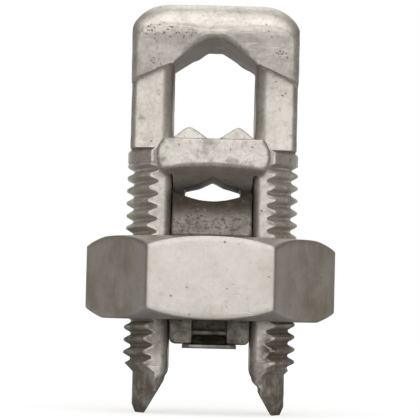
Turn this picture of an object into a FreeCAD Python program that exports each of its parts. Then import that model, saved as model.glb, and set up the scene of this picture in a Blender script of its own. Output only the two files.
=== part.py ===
import FreeCAD, Part
import math
import os
import re
import Sketcher

# Split bolt connector with spacer. Millimetres, +Z along the bolt's axis, +X to the right in the
# photograph, -Y towards the camera. The origin is on the floor, midway between the two leg tips.

V = FreeCAD.Vector
doc = FreeCAD.newDocument("split_bolt_connector")
sheet = doc.addObject("Spreadsheet::Sheet", "sizes")
working = doc.addObject("Spreadsheet::Sheet", "working")

# Driving sizes, each free to be set by itself
driving = {
    # The thread
    "nominal_dia": 25.4,  # nominal bolt diameter, 1 in
    "threads_per_inch": 14,  # threads to the inch
    "major_allowance": 0.2,  # how far the crest diameter is under the nominal one
    "thread_depth": 1.05,  # depth of the leg thread, from crest to root
    "crest_clearance": 0.2,  # radial clearance at the thread's crests and roots, nut to leg
    # The bolt forging
    "slot_width": 11.8,  # gap between the two legs
    "shank_inset": 0.56,  # how far the shank's outer faces are inside the thread's crests
    "leg_front_cut": 4.0,  # how far the legs' front faces are inside the thread's crests
    "leg_draft": 0.7,  # how far the legs' front faces fall back from the collar to the tips
    "leg_inner_round": 1.1,  # rounding of the legs' inner long edges
    "shank_outer_round": 0.9,  # rounding of the shank's outer long edges
    "shank_height": 15.6,  # from the collar's top to the top of the run wire's seat
    "collar_inset": 0.1,  # how far the plain collar is inside the thread's crests
    "collar_height": 1.9,  # height of the plain collar
    "collar_bevel": 0.45,  # bevel at the collar's top edge
    "pilot_relief": 0.42,  # how far the plain legs below the thread are inside its roots
    "thread_start_z": 5.9,  # height where the plain legs end
    "first_groove": 0.98,  # height of the right leg's first groove above that
    "tip_bevel_z": 1.7,  # height of the bevel at the leg tips' outer corner
    "tip_bevel_x": 0.75,  # width of the bevel at the leg tips' outer corner
    "tip_land": 1.08,  # width of the leg tip's flat
    "tip_taper_angle": 30,  # slope of the leg tips' inner faces, from upright
    "tip_taper_round": 5.0,  # rounding where the leg tips' taper starts
    "head_side_step": 0.13,  # how far the head's sides stand out from the shank
    "head_front_step": 3.4,  # how far the head's front stands out from the legs
    "head_top_z": 59.7,  # overall height
    "head_corner": 4.6,  # radius of the head's upper corners
    "head_round": 3.1,  # rounding of the head's front and back edges
    "head_bevel": 1.25,  # bevel along the head's lower front and back edges
    "head_crown": 5.8,  # thickness of the head over the top of the run wire's seat
    "seat_flat": 1.0,  # half the flat at the top of the seat
    "seat_angle": 32.6,  # slope of the seat's two sides
    # The nut
    "nut_wall": 3.075,  # thickness of the nut from the root of its thread to a flat
    "nut_thickness": 11.9,  # nut thickness
    "nut_bottom_z": 13.6,  # height of the nut's lower face in the photograph
    "chamfer_angle": 30,  # angle of the nut's chamfers
    "chamfer_inset": 0.15,  # how far the chamfer circle is inside the flats
    # The pressure bar
    "bar_side_clearance": 0.15,  # gap between the bar and each leg
    "bar_overhang": 0.6,  # how far the bar's upper block reaches past the thread's crests
    "bar_height": 6.55,  # height of the bar's side lips over the nut
    "bar_toe": 1.0,  # height of the upper block's upright ends, under their slopes
    "bar_crown_step": 0.3,  # how far the top of those slopes stands out from the legs' front faces
    "bar_cup_radius": 11.0,  # radius of the tap wire's seat
    "cup_lip": 0.38,  # width of the flat lip on each side of that seat
    "bar_edge_round": 0.6,  # rounding of the bar's upright edges
    "stem_bore_clearance": 0.3,  # radial gap between the stem's corners and the crests of the nut's thread
    "stem_below_nut": 3.5,  # how far the stem reaches below the nut
    "stem_end_round": 0.8,  # rounding of the stem's lower corners
    "recess_half_width": 2.5,  # half the width of the recesses in the stem's front and back
    "recess_depth": 2.4,  # depth of the recesses
    "recess_height": 7.0,  # height of the recesses above the stem's end
    "ledge_height": 1.25,  # height of the ledge's underside above the stem's end
    "ledge_thickness": 0.8,  # thickness of the ledge
    "ledge_inset": 0.5,  # how far the ledge stands behind the stem's face
    "slit_depth": 6.2,  # depth of the slit under the ledge
    "stake_radius": 1.5,  # radius of the stake that holds the clip
    "stake_flare": 0.45,  # how much wider the stake is at its spread end
    # The retaining clip
    "clip_side_inset": 1.88,  # how far the clip's sides are inside the bar's
    "clip_thickness": 0.55,  # thickness of the clip
    "clip_reach": 1.6,  # how far the clip reaches past the crests of the nut's thread
    "clip_corner": 1.2,  # radius of the clip's corners
    "clip_clearance": 0.02,  # gap above the clip and around its stake
    # The spacer
    "spacer_side_clearance": 0.2,  # gap between the spacer and each leg
    "flange_root": 1.4,  # how far the spacer's block runs into its flanges
    "end_undercut": 5.0,  # how far the feet's ends are inside the block's ends
    "flange_thickness": 3.7,  # thickness of each flange, front to back
    "flange_leg_clearance": 0.3,  # gap between the flange and the legs' front faces
    "flange_reach": 2.3,  # how far each flange reaches over the legs' front faces
    "flange_end_radius": 3.6,  # radius of the flange's rounded ends
    "flange_top": 8.05,  # top of the flange above the feet
    "flange_bottom": 2.9,  # bottom of the flange's inner side above the feet
    "flange_face_low": 4.2,  # bottom of the flange's face above the feet, at its middle
    "flange_end_drop": 1.0,  # how much lower the bottom of the flange's face is at its ends
    "flange_bevel": 0.35,  # bevel along the edges of the flange's face
    "ridge_inset": 2.15,  # from the spacer's side to the ridge beside the upper notch
    "ridge_top": 10.05,  # height of the sharp ridges above the feet, before rounding
    "ridge_round": 1.1,  # rounding of the ridges
    "notch_bottom": 7.6,  # height of the upper notch above the feet
    "shoulder_top": 8.3,  # height of the spacer's sides above the feet
    "under_apex": 2.65,  # height of the lower notch above the feet
    "under_knee_x": 1.7,  # centre to the knee in the lower notch
    "under_knee": 1.7,  # height of the knee above the feet
    "foot_inset": 1.65,  # from the spacer's side to the inner side of the foot
    "foot_land": 0.5,  # width of each foot's seat
    "foot_side": 1.05,  # height of each foot's inner side
    "foot_round": 2.4,  # rounding of the feet's outer corners
    "foot_round_top": 1.9,  # height above the feet where that rounding ends
    "seat_gap": 0.05,  # gap where one piece rests on another
}

# Sizes that follow from the driving ones
following = {
    "pitch": "25.4 / threads_per_inch",  # thread pitch
    "crest_radius": "(nominal_dia - major_allowance) / 2",  # crest radius of the leg thread
    "root_radius": "crest_radius - thread_depth",  # root radius of the leg thread
    "lead_in": "0.8 * pitch",  # height of the bevel at the thread's lower end
    "blank_radius": "crest_radius + thread_depth / 5",  # radius that the legs are turned to before the thread
    "cutter_radius": "crest_radius + thread_depth / 2",  # how far out a groove's outline reaches
    "cutter_half_width": "pitch / 2 * 3 / 2",  # half its width out there, so that grooves meet at the crests
    "lead_angle": "atan(pitch / (2 * pi * root_radius))",  # lean of the thread's helix
    "first_groove_z": "thread_start_z + first_groove",  # height of the right leg's first groove
    # The bolt forging
    "leg_x": "slot_width / 2",  # centre to the legs' inner faces
    "leg_half_depth": "crest_radius - leg_front_cut",  # centre to the legs' front faces at the collar
    "tip_half_depth": "leg_half_depth - leg_draft",  # the same at the leg tips
    "shank_half_width": "crest_radius - shank_inset",  # centre to the shank's outer faces
    "collar_radius": "crest_radius - collar_inset",  # radius of the plain collar above the thread
    "pilot_radius": "root_radius - pilot_relief",  # radius of the plain legs below the thread
    "tip_inner_x": "pilot_radius - tip_bevel_x - tip_land",  # centre to the tip flat's inner edge
    "head_half_width": "shank_half_width + head_side_step",  # centre to the side of the head
    "head_half_depth": "leg_half_depth + head_front_step",  # centre to the front of the head
    "seat_apex_z": "head_top_z - head_crown",  # height of the run wire's seat
    "seat_side_z": "seat_apex_z - (head_half_width - seat_flat) * tan(seat_angle * 1 deg)",  # head's lowest
    "collar_top_z": "seat_apex_z - shank_height",  # height where the turned part ends
    "collar_bottom_z": "collar_top_z - collar_height",  # height where the threaded part ends
    "taper_corner_z": "(tip_inner_x - leg_x) / tan(tip_taper_angle * 1 deg)",  # where the taper would start
    "taper_tangent": "tip_taper_round * tan(tip_taper_angle / 2 * 1 deg)",  # tangent length of its rounding
    # The nut
    "nut_crest_radius": "root_radius + crest_clearance",  # crest radius of the nut's thread
    "bore_radius": "crest_radius + crest_clearance",  # root radius of the nut's thread, as the bore is cut
    "across_flats": "2 * (bore_radius + nut_wall)",  # nut across flats, 1 1/4 in
    "nut_top_z": "nut_bottom_z + nut_thickness",  # height of the nut's upper face
    "corner_radius": "across_flats / 2 / cos(30 * 1 deg)",  # centre to the nut's corners
    "chamfer_radius": "across_flats / 2 - chamfer_inset",  # radius of the nut's chamfer circle
    # The pressure bar
    "bar_x": "leg_x - bar_side_clearance",  # centre to the bar's side
    "bar_half_depth": "crest_radius + bar_overhang",  # centre to the front of the upper block
    "bar_crown_y": "leg_half_depth + bar_crown_step",  # centre to the top of the upper block's slopes
    "bar_low_z": "nut_top_z + seat_gap",  # height of the bar's shoulders
    "bar_top_z": "bar_low_z + bar_height",  # height of the bar's side lips
    "cup_x": "bar_x - cup_lip",  # centre to the tap seat's edge
    "cup_centre_z": "bar_top_z + sqrt(bar_cup_radius^2 - cup_x^2)",  # height of the tap seat's centre line
    "stem_y": "sqrt((nut_crest_radius - stem_bore_clearance)^2 - bar_x^2)",  # centre to the stem's front
    "stem_end_z": "nut_bottom_z - stem_below_nut",  # height of the stem's lower end
    # The retaining clip
    "clip_top_z": "stem_end_z - clip_clearance",  # height of the clip's upper face
    "clip_low_z": "clip_top_z - clip_thickness",  # height of the clip's lower face
    "clip_half_width": "bar_x - clip_side_inset",  # centre to the side of the clip
    "clip_y": "nut_crest_radius + clip_reach",  # centre to the clip's end
    # The spacer
    "spacer_x": "leg_x - spacer_side_clearance",  # centre to the spacer's side
    "ridge_x": "spacer_x - ridge_inset",  # centre to each ridge beside the upper notch
    "foot_x": "spacer_x - foot_inset",  # centre to the inner side of each foot
    "foot_out_x": "foot_x + foot_land",  # centre to the outer side of the feet's seats
    "foot_arc": "bar_cup_radius - seat_gap",  # radius of the feet's seats
    "feet_z": "cup_centre_z - sqrt(foot_arc^2 - foot_x^2)",  # height of the feet's inner edges
    "feet_out_z": "cup_centre_z - sqrt(foot_arc^2 - foot_out_x^2)",  # height of the feet's outer edges
    "flange_back": "leg_half_depth + flange_leg_clearance",  # centre to the flange's inner face
    "flange_front": "flange_back + flange_thickness",  # centre to the flange's front face
    "spacer_half_depth": "flange_back + flange_root",  # centre to the end of the spacer's block
    "foot_y": "spacer_half_depth - end_undercut",  # centre to the end of the feet
    "flange_z": "feet_z + flange_top",  # height of the flange's top
    "flange_low_z": "feet_z + flange_bottom",  # height of the flange's bottom
    "flange_half_width": "leg_x + flange_reach",  # centre to the end of the flange
    "flange_drop_x": "sqrt(flange_end_radius^2 - (flange_top - flange_bottom)^2 / 4)",  # run of its end arc
    "flange_corner_x": "flange_half_width - flange_end_radius + flange_drop_x",  # centre to its corners
}
names = list(driving) + list(following)
cells = [str(value) for value in driving.values()] + ["=" + text for text in following.values()]
for row, (alias, cell) in enumerate(zip(names, cells), 1):
    sheet.set("A%d" % row, alias)
    sheet.set("B%d" % row, cell)
    sheet.setAlias("B%d" % row, alias)
doc.recompute()


def linked(text):
    """The same expression with each size named in full, for use outside the sheet."""
    def full(word):
        return "sizes." + word.group(0) if word.group(0) in names else word.group(0)
    return re.sub(r"[A-Za-z_][A-Za-z_0-9]*", full, text)


def now(text):
    """The present value of an expression of sizes."""
    working.set("A1", "=" + linked(text))
    working.recompute()
    got = working.get("A1")
    return float(getattr(got, "Value", got))


def plane(body, role):
    return [f for f in body.Origin.OriginFeatures if f.Role == role][0]


def new_body(name):
    body = doc.addObject("PartDesign::Body", name)
    doc.recompute()
    return body


def sketch(body, name, role, offset=None):
    """A sketch on one of the body's own planes, moved along the plane's normal by an expression."""
    sk = body.newObject("Sketcher::SketchObject", name)
    sk.AttachmentSupport = [(plane(body, role), "")]
    sk.MapMode = "FlatFace"
    if offset:
        sk.setExpression("AttachmentOffset.Base.z", linked(offset))
    return sk


def hold(sk, geo, end, across, up):
    """Holds a point of a sketch at (across, up), each an expression of sizes."""
    for kind, text in (("DistanceX", across), ("DistanceY", up)):
        at = sk.addConstraint(Sketcher.Constraint(kind, -1, 1, geo, end, now(text)))
        if re.search("[a-z]", text):
            sk.setExpression("Constraints[%d]" % at, linked(text))


def outline(sk, points):
    """A closed outline. A corner is (across, up), or (across, up, radius, side) where an arc goes from it
    to the next corner, bulging to the left of the way there for side 1 and to the right for side -1."""
    at = [V(now(p[0]), now(p[1]), 0) for p in points]
    parts = []
    for i, p in enumerate(points):
        a, b = at[i], at[(i + 1) % len(points)]
        if len(p) == 2:
            parts.append((sk.addGeometry(Part.LineSegment(a, b), False), 1, 2))
            continue
        r, chord = now(p[2]), b - a
        left = V(-chord.y, chord.x, 0).normalize()
        rise = math.sqrt(r * r - chord.Length ** 2 / 4)
        centre = a + chord * 0.5 - left * (p[3] * rise)
        middle = centre + left * (p[3] * r)
        geo = sk.addGeometry(Part.Arc(a, middle, b), False)
        parts.append((geo, 2, 1) if p[3] > 0 else (geo, 1, 2))
        line = sk.addConstraint(Sketcher.Constraint("Radius", geo, r))
        sk.setExpression("Constraints[%d]" % line, linked(p[2]))
    for i, (geo, first, last) in enumerate(parts):
        after = parts[(i + 1) % len(parts)]
        sk.addConstraint(Sketcher.Constraint("Coincident", geo, last, after[0], after[1]))
        hold(sk, geo, first, points[i][0], points[i][1])


def circle(sk, across, up, radius):
    geo = sk.addGeometry(Part.Circle(V(now(across), now(up), 0), V(0, 0, 1), now(radius)), False)
    at = sk.addConstraint(Sketcher.Constraint("Radius", geo, now(radius)))
    sk.setExpression("Constraints[%d]" % at, linked(radius))
    hold(sk, geo, 3, across, up)


def feature(body, kind, name, profile=None, **settings):
    """A feature of the body. A setting is a value, or a text that is an expression of sizes."""
    thing = body.newObject("PartDesign::" + kind, name)
    if profile is not None:
        thing.Profile = profile
    for key, value in settings.items():
        if isinstance(value, str):
            thing.setExpression(key, linked(value))
        else:
            setattr(thing, key, value)
    body.Tip = thing
    doc.recompute()
    return thing


def about_z(body):
    return (plane(body, "Z_Axis"), [""])


def mirrored(body, name, originals, role):
    thing = body.newObject("PartDesign::Mirrored", name)
    thing.Originals = originals
    thing.MirrorPlane = (plane(body, role), [""])
    body.Tip = thing
    doc.recompute()
    return thing


def edges(shape, test):
    """Names of the shape's edges whose middle point and end points pass a test."""
    found = []
    for i, edge in enumerate(shape.Edges):
        middle = edge.valueAt((edge.FirstParameter + edge.LastParameter) / 2)
        if test(edge, middle):
            found.append("Edge%d" % (i + 1))
    return found


def dress(body, kind, name, test, **settings):
    """A fillet or a chamfer of the body along the edges that pass the test."""
    base = body.Tip
    thing = body.newObject("PartDesign::" + kind, name)
    thing.Base = (base, edges(base.Shape, test))
    for key, value in settings.items():
        thing.setExpression(key, linked(value))
    body.Tip = thing
    doc.recompute()
    return thing


def near(a, b):
    return abs(a - b) < 0.01


# Split bolt: the head is forged first, then the shank and the legs grow from it
stud = new_body("stud")
head_shape = sketch(stud, "head_outline", "XZ_Plane")
outline(head_shape, [
    ("-head_half_width", "seat_side_z"),
    ("-seat_flat", "seat_apex_z"),
    ("seat_flat", "seat_apex_z"),
    ("head_half_width", "seat_side_z"),
    ("head_half_width", "head_top_z - head_corner", "head_corner", -1),
    ("head_half_width - head_corner", "head_top_z"),
    ("-(head_half_width - head_corner)", "head_top_z", "head_corner", -1),
    ("-head_half_width", "head_top_z - head_corner"),
])
feature(stud, "Pad", "head", head_shape, Length="2 * head_half_depth", Midplane=True)
face = now("head_half_depth")
low = now("seat_apex_z")
flat = now("seat_flat")


def on_seat_edge(edge, middle):
    slope = low - (abs(middle.x) - flat) * math.tan(math.radians(now("seat_angle")))
    on_flat = abs(middle.x) < flat and near(middle.z, low)
    return near(abs(middle.y), face) and (near(middle.z, slope) or on_flat)


dress(stud, "Fillet", "head_rounding",
      lambda e, m: near(abs(m.y), face) and (near(abs(m.x), now("head_half_width")) or m.z > low + flat),
      Radius="head_round")
dress(stud, "Chamfer", "head_bevels", on_seat_edge, Size="head_bevel")

shank_shape = sketch(stud, "shank_outline", "XY_Plane", "collar_top_z")
outline(shank_shape, [
    ("leg_x", "-leg_half_depth"),
    ("shank_half_width - shank_outer_round", "-leg_half_depth", "shank_outer_round", -1),
    ("shank_half_width", "-leg_half_depth + shank_outer_round"),
    ("shank_half_width", "leg_half_depth - shank_outer_round", "shank_outer_round", -1),
    ("shank_half_width - shank_outer_round", "leg_half_depth"),
    ("leg_x", "leg_half_depth"),
])
shank = feature(stud, "Pad", "shank", shank_shape, Length="seat_apex_z - collar_top_z")


leg_shape = sketch(stud, "leg_outline", "XY_Plane")
outline(leg_shape, [
    ("leg_x", "-leg_half_depth"),
    ("crest_radius + 1", "-leg_half_depth"),
    ("crest_radius + 1", "leg_half_depth"),
    ("leg_x", "leg_half_depth"),
])
leg = feature(stud, "Pad", "leg", leg_shape, Length="collar_top_z")
mirrored(stud, "left_shank_and_leg", [shank, leg], "YZ_Plane")
for name, s in (("front_draft", "-"), ("back_draft", "")):
    cut = sketch(stud, name + "_cut", "YZ_Plane")
    outline(cut, [
        (s + "leg_half_depth", "collar_top_z"),
        (s + "(tip_half_depth - leg_draft / collar_top_z)", "-1"),
        (s + "(leg_half_depth + 1)", "-1"),
        (s + "(leg_half_depth + 1)", "collar_top_z"),
    ])
    feature(stud, "Pocket", name, cut, Length="4 * crest_radius", Midplane=True)
dress(stud, "Fillet", "inner_rounding",
      lambda e, m: (near(abs(m.x), now("leg_x")) and abs(m.y) > now("tip_half_depth") - 0.01
                    and abs(e.Vertexes[0].Z - e.Vertexes[-1].Z) > 4),
      Radius="leg_inner_round")

turned = sketch(stud, "turning_cut", "XZ_Plane")
outline(turned, [
    ("2 * crest_radius", "-1"),
    ("pilot_radius - tip_bevel_x", "-1"),
    ("pilot_radius - tip_bevel_x", "0"),
    ("pilot_radius", "tip_bevel_z"),
    ("pilot_radius", "thread_start_z"),
    ("blank_radius", "thread_start_z + lead_in"),
    ("blank_radius", "collar_bottom_z - pitch"),
    ("collar_radius", "collar_bottom_z - pitch"),
    ("collar_radius", "collar_top_z - collar_bevel"),
    ("collar_radius - collar_bevel", "collar_top_z"),
    ("2 * crest_radius", "collar_top_z"),
])
feature(stud, "Groove", "turned_outside", turned, ReferenceAxis=about_z(stud), Angle=360)



def leg_grooves(name, s, angle, first):
    """The thread's grooves on one leg. Each is a V cut about an axis that leans by the lead angle, which keeps
    it on the thread's helix over the leg's width, and the next is one pitch higher."""
    cut = sketch(stud, name + "_cut", "XZ_Plane")
    cut.AttachmentOffset = FreeCAD.Placement(V(0, 0, 0), FreeCAD.Rotation(V(1, 0, 0), 1))
    cut.setExpression("AttachmentOffset.Rotation.Angle", linked(angle))
    cut.setExpression("AttachmentOffset.Base.y", linked(first))
    outline(cut, [
        (s + "root_radius", "0"),
        (s + "cutter_radius", "-cutter_half_width"),
        (s + "cutter_radius", "cutter_half_width"),
    ])
    groove = feature(stud, "Groove", name + "_first", cut, ReferenceAxis=(cut, ["V_Axis"]), Angle=120,
                     Midplane=True)
    count = "floor((collar_bottom_z - (" + first + ")) / pitch)"
    feature(stud, "LinearPattern", name, None, Originals=[groove], Direction=about_z(stud),
            Length=count + " * pitch", Occurrences=count + " + 1")


leg_grooves("right_grooves", "", "lead_angle", "first_groove_z")
leg_grooves("left_grooves", "-", "-lead_angle", "first_groove_z + pitch / 2")

tips = sketch(stud, "tip_taper_cut", "XZ_Plane")
outline(tips, [
    ("-tip_inner_x - tan(tip_taper_angle * 1 deg)", "-1"),
    ("tip_inner_x + tan(tip_taper_angle * 1 deg)", "-1"),
    ("leg_x + taper_tangent * sin(tip_taper_angle * 1 deg)",
     "taper_corner_z - taper_tangent * cos(tip_taper_angle * 1 deg)", "tip_taper_round", 1),
    ("leg_x", "taper_corner_z + taper_tangent"),
    ("-leg_x", "taper_corner_z + taper_tangent", "tip_taper_round", 1),
    ("-(leg_x + taper_tangent * sin(tip_taper_angle * 1 deg))",
     "taper_corner_z - taper_tangent * cos(tip_taper_angle * 1 deg)"),
])
feature(stud, "Pocket", "tapered_tips", tips, Length="4 * crest_radius", Midplane=True)

# Nut: hexagon, bore and chamfers
nut = new_body("nut")
hexagon = sketch(nut, "hexagon", "XY_Plane", "nut_bottom_z")
outline(hexagon, [
    ("corner_radius", "0"),
    ("corner_radius / 2", "across_flats / 2"),
    ("-corner_radius / 2", "across_flats / 2"),
    ("-corner_radius", "0"),
    ("-corner_radius / 2", "-across_flats / 2"),
    ("corner_radius / 2", "-across_flats / 2"),
])
feature(nut, "Pad", "hexagon_blank", hexagon, Length="nut_thickness")
bore = sketch(nut, "bore", "XY_Plane", "nut_bottom_z - 1")
circle(bore, "0", "0", "bore_radius")
feature(nut, "Pocket", "tap_bore", bore, Length="nut_thickness + 2", Reversed=True)
for name, corner, rise in (("upper_chamfer", "nut_top_z", "-"), ("lower_chamfer", "nut_bottom_z", "+")):
    cut = sketch(nut, name + "_cut", "XZ_Plane")
    far = "(corner_radius + 1 - chamfer_radius) * tan(chamfer_angle * 1 deg)"
    outline(cut, [
        ("chamfer_radius", corner),
        ("corner_radius + 1", corner + rise + far),
        ("corner_radius + 1", corner),
    ])
    feature(nut, "Groove", name, cut, ReferenceAxis=about_z(nut), Angle=360)

# Pressure bar: the cupped block on the nut, its stem through the bore, and the stake for the clip
bar = new_body("pressure_bar")
block = sketch(bar, "block_outline", "XZ_Plane")
outline(block, [
    ("-bar_x", "bar_low_z"),
    ("bar_x", "bar_low_z"),
    ("bar_x", "bar_top_z"),
    ("cup_x", "bar_top_z", "bar_cup_radius", 1),
    ("-cup_x", "bar_top_z"),
    ("-bar_x", "bar_top_z"),
])
feature(bar, "Pad", "cupped_block", block, Length="2 * bar_half_depth", Midplane=True)
for name, s in (("front_slope", "-"), ("back_slope", "")):
    cut = sketch(bar, name + "_cut", "YZ_Plane")
    outline(cut, [
        (s + "bar_half_depth", "bar_low_z + bar_toe"),
        (s + "bar_crown_y", "bar_top_z"),
        (s + "bar_half_depth", "bar_top_z"),
    ])
    feature(bar, "Pocket", name, cut, Length="4 * bar_x", Midplane=True)
dress(bar, "Fillet", "block_edges",
      lambda e, m: near(abs(m.x), now("bar_x")) and abs(m.y) > now("bar_crown_y"), Radius="bar_edge_round")
stem_shape = sketch(bar, "stem_outline", "XZ_Plane")
outline(stem_shape, [
    ("-bar_x + stem_end_round", "stem_end_z"),
    ("bar_x - stem_end_round", "stem_end_z", "stem_end_round", -1),
    ("bar_x", "stem_end_z + stem_end_round"),
    ("bar_x", "bar_low_z + 1"),
    ("-bar_x", "bar_low_z + 1"),
    ("-bar_x", "stem_end_z + stem_end_round", "stem_end_round", -1),
])
feature(bar, "Pad", "stem", stem_shape, Length="2 * stem_y", Midplane=True)
for name, s in (("front_recess", "-"), ("back_recess", "")):
    cut = sketch(bar, name + "_cut", "YZ_Plane")
    outline(cut, [
        (s + "(stem_y + 1)", "stem_end_z - 1"),
        (s + "(stem_y - slit_depth)", "stem_end_z - 1"),
        (s + "(stem_y - slit_depth)", "stem_end_z + ledge_height"),
        (s + "(stem_y - ledge_inset)", "stem_end_z + ledge_height"),
        (s + "(stem_y - ledge_inset)", "stem_end_z + ledge_height + ledge_thickness"),
        (s + "(stem_y - recess_depth)", "stem_end_z + ledge_height + ledge_thickness"),
        (s + "(stem_y - recess_depth)", "stem_end_z + recess_height"),
        (s + "(stem_y + 1)", "stem_end_z + recess_height"),
    ])
    feature(bar, "Pocket", name, cut, Length="2 * recess_half_width", Midplane=True)
stake_shape = sketch(bar, "stake_outline", "XZ_Plane")
outline(stake_shape, [
    ("0", "clip_low_z"),
    ("stake_radius + stake_flare", "clip_low_z"),
    ("stake_radius", "clip_top_z"),
    ("stake_radius", "stem_end_z + 0.5"),
    ("0", "stem_end_z + 0.5"),
])
feature(bar, "Revolution", "stake", stake_shape, ReferenceAxis=about_z(bar), Angle=360)

# Retaining clip: a strip with rounded corners and a countersunk hole for the stake
clip = new_body("retaining_clip")
strip = sketch(clip, "strip_outline", "XY_Plane", "clip_low_z")
outline(strip, [
    ("-clip_half_width + clip_corner", "-clip_y"),
    ("clip_half_width - clip_corner", "-clip_y", "clip_corner", -1),
    ("clip_half_width", "-clip_y + clip_corner"),
    ("clip_half_width", "clip_y - clip_corner", "clip_corner", -1),
    ("clip_half_width - clip_corner", "clip_y"),
    ("-clip_half_width + clip_corner", "clip_y", "clip_corner", -1),
    ("-clip_half_width", "clip_y - clip_corner"),
    ("-clip_half_width", "-clip_y + clip_corner", "clip_corner", -1),
])
feature(clip, "Pad", "strip", strip, Length="clip_thickness")
hole = sketch(clip, "hole_cut", "XZ_Plane")
outline(hole, [
    ("0", "clip_low_z"),
    ("stake_radius + stake_flare + clip_clearance", "clip_low_z"),
    ("stake_radius + clip_clearance", "clip_top_z"),
    ("0", "clip_top_z"),
])
feature(clip, "Groove", "hole", hole, ReferenceAxis=about_z(clip), Angle=360)

# Spacer: the notched block between the legs, with a flange in front of them and one behind
spacer = new_body("spacer")
block = sketch(spacer, "saddle_outline", "XZ_Plane")
outline(block, [
    ("foot_x", "feet_z", "foot_arc", -1),
    ("foot_out_x", "feet_out_z", "foot_round", -1),
    ("spacer_x", "feet_z + foot_round_top"),
    ("spacer_x", "feet_z + shoulder_top"),
    ("ridge_x", "feet_z + ridge_top"),
    ("0", "feet_z + notch_bottom"),
    ("-ridge_x", "feet_z + ridge_top"),
    ("-spacer_x", "feet_z + shoulder_top"),
    ("-spacer_x", "feet_z + foot_round_top", "foot_round", -1),
    ("-foot_out_x", "feet_out_z", "foot_arc", -1),
    ("-foot_x", "feet_z"),
    ("-foot_x", "feet_z + foot_side"),
    ("-under_knee_x", "feet_z + under_knee"),
    ("0", "feet_z + under_apex"),
    ("under_knee_x", "feet_z + under_knee"),
    ("foot_x", "feet_z + foot_side"),
])
feature(spacer, "Pad", "saddle", block, Length="2 * spacer_half_depth", Midplane=True)
dress(spacer, "Fillet", "ridge_rounding",
      lambda e, m: near(abs(m.x), now("ridge_x")) and near(m.z, now("feet_z + ridge_top")),
      Radius="ridge_round")
plate = sketch(spacer, "flange_outline", "XZ_Plane", "flange_back")
outline(plate, [
    ("-flange_corner_x", "flange_low_z"),
    ("flange_corner_x", "flange_low_z", "flange_end_radius", -1),
    ("flange_corner_x", "flange_z"),
    ("-flange_corner_x", "flange_z", "flange_end_radius", -1),
])
flange = feature(spacer, "Pad", "flange", plate, Length="flange_front - flange_back")
scoop_face = sketch(spacer, "scoop_at_face", "XZ_Plane", "flange_front")
outline(scoop_face, [
    ("-flange_half_width", "feet_z + flange_face_low - flange_end_drop",
     "(flange_half_width^2 + flange_end_drop^2) / 2 / flange_end_drop", 1),
    ("flange_half_width", "feet_z + flange_face_low - flange_end_drop"),
    ("flange_half_width", "flange_low_z - 2"),
    ("-flange_half_width", "flange_low_z - 2"),
])
scoop_back = sketch(spacer, "scoop_at_saddle", "XZ_Plane", "spacer_half_depth")
outline(scoop_back, [
    ("-flange_half_width", "flange_low_z"),
    ("flange_half_width", "flange_low_z"),
    ("flange_half_width", "flange_low_z - 2"),
    ("-flange_half_width", "flange_low_z - 2"),
])
scoop = feature(spacer, "SubtractiveLoft", "underside_slope", scoop_face, Sections=[scoop_back], Ruled=True)
mirrored(spacer, "back_flange", [flange, scoop], "XZ_Plane")
for name, s in (("front_undercut", "-"), ("back_undercut", "")):
    cut = sketch(spacer, name + "_cut", "YZ_Plane")
    outline(cut, [
        (s + "spacer_half_depth", "flange_low_z"),
        (s + "(foot_y - end_undercut / 5)", "feet_z - flange_bottom / 5"),
        (s + "spacer_half_depth", "feet_z - flange_bottom / 5"),
    ])
    feature(spacer, "Pocket", name, cut, Length="4 * flange_half_width", Midplane=True)
dress(spacer, "Chamfer", "flange_bevels", lambda e, m: near(abs(m.y), now("flange_front")),
      Size="flange_bevel")

doc.removeObject("working")
doc.recompute()
os.makedirs("parts", exist_ok=True)
for body in (stud, nut, spacer, bar, clip):
    for thing in body.Group:
        if "Invalid" in thing.State or "Error" in thing.State:
            raise RuntimeError(thing.Name + " did not build")
    shape = body.Shape
    if not shape.isValid() or len(shape.Solids) != 1:
        raise RuntimeError(body.Name + " is not one good solid")
    shape.Solids[0].exportStep("parts/" + body.Name + ".step")
    box = shape.optimalBoundingBox()
    print(body.Name, round(shape.Volume, 1), [round(v, 3) for v in
          (box.XMin, box.XMax, box.YMin, box.YMax, box.ZMin, box.ZMax)])
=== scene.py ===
import math
import bmesh
import bpy
import numpy as np
from mathutils import Matrix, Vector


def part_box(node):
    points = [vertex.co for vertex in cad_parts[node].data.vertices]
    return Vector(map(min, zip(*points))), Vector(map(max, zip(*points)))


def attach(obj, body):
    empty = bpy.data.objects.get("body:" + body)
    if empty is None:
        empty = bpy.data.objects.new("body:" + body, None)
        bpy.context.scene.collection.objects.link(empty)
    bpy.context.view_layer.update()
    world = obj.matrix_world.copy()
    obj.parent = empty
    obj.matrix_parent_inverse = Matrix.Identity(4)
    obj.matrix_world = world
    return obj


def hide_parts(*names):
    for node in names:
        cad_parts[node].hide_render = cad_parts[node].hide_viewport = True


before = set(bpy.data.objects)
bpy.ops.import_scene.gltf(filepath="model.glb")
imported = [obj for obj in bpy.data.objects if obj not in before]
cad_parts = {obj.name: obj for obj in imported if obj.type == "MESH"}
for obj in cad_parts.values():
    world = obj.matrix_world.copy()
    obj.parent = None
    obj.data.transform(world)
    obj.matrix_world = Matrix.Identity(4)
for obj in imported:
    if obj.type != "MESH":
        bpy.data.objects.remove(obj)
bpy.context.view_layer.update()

# The split bolt: one copper alloy forging with an arched head and two legs. The legs are turned on the
# outside, threaded 14 to the inch and cut off at a slant at their tips, and the whole piece is tin plated.
# Sizes are in millimetres, here and in the other sections.
MM = 0.001
crest_radius, head_front, head_top = np.array(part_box("stud")[1]) / MM
pitch = 25.4 / 14
thread_depth = 1.05
thread_flank = math.radians(30)
root_radius = crest_radius - thread_depth
flank_width = thread_depth * math.tan(thread_flank)
crest_land = 0.3
root_land = (pitch - crest_land - 2 * flank_width) / 2
groove_start = 5.07
groove_count = 19
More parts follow.
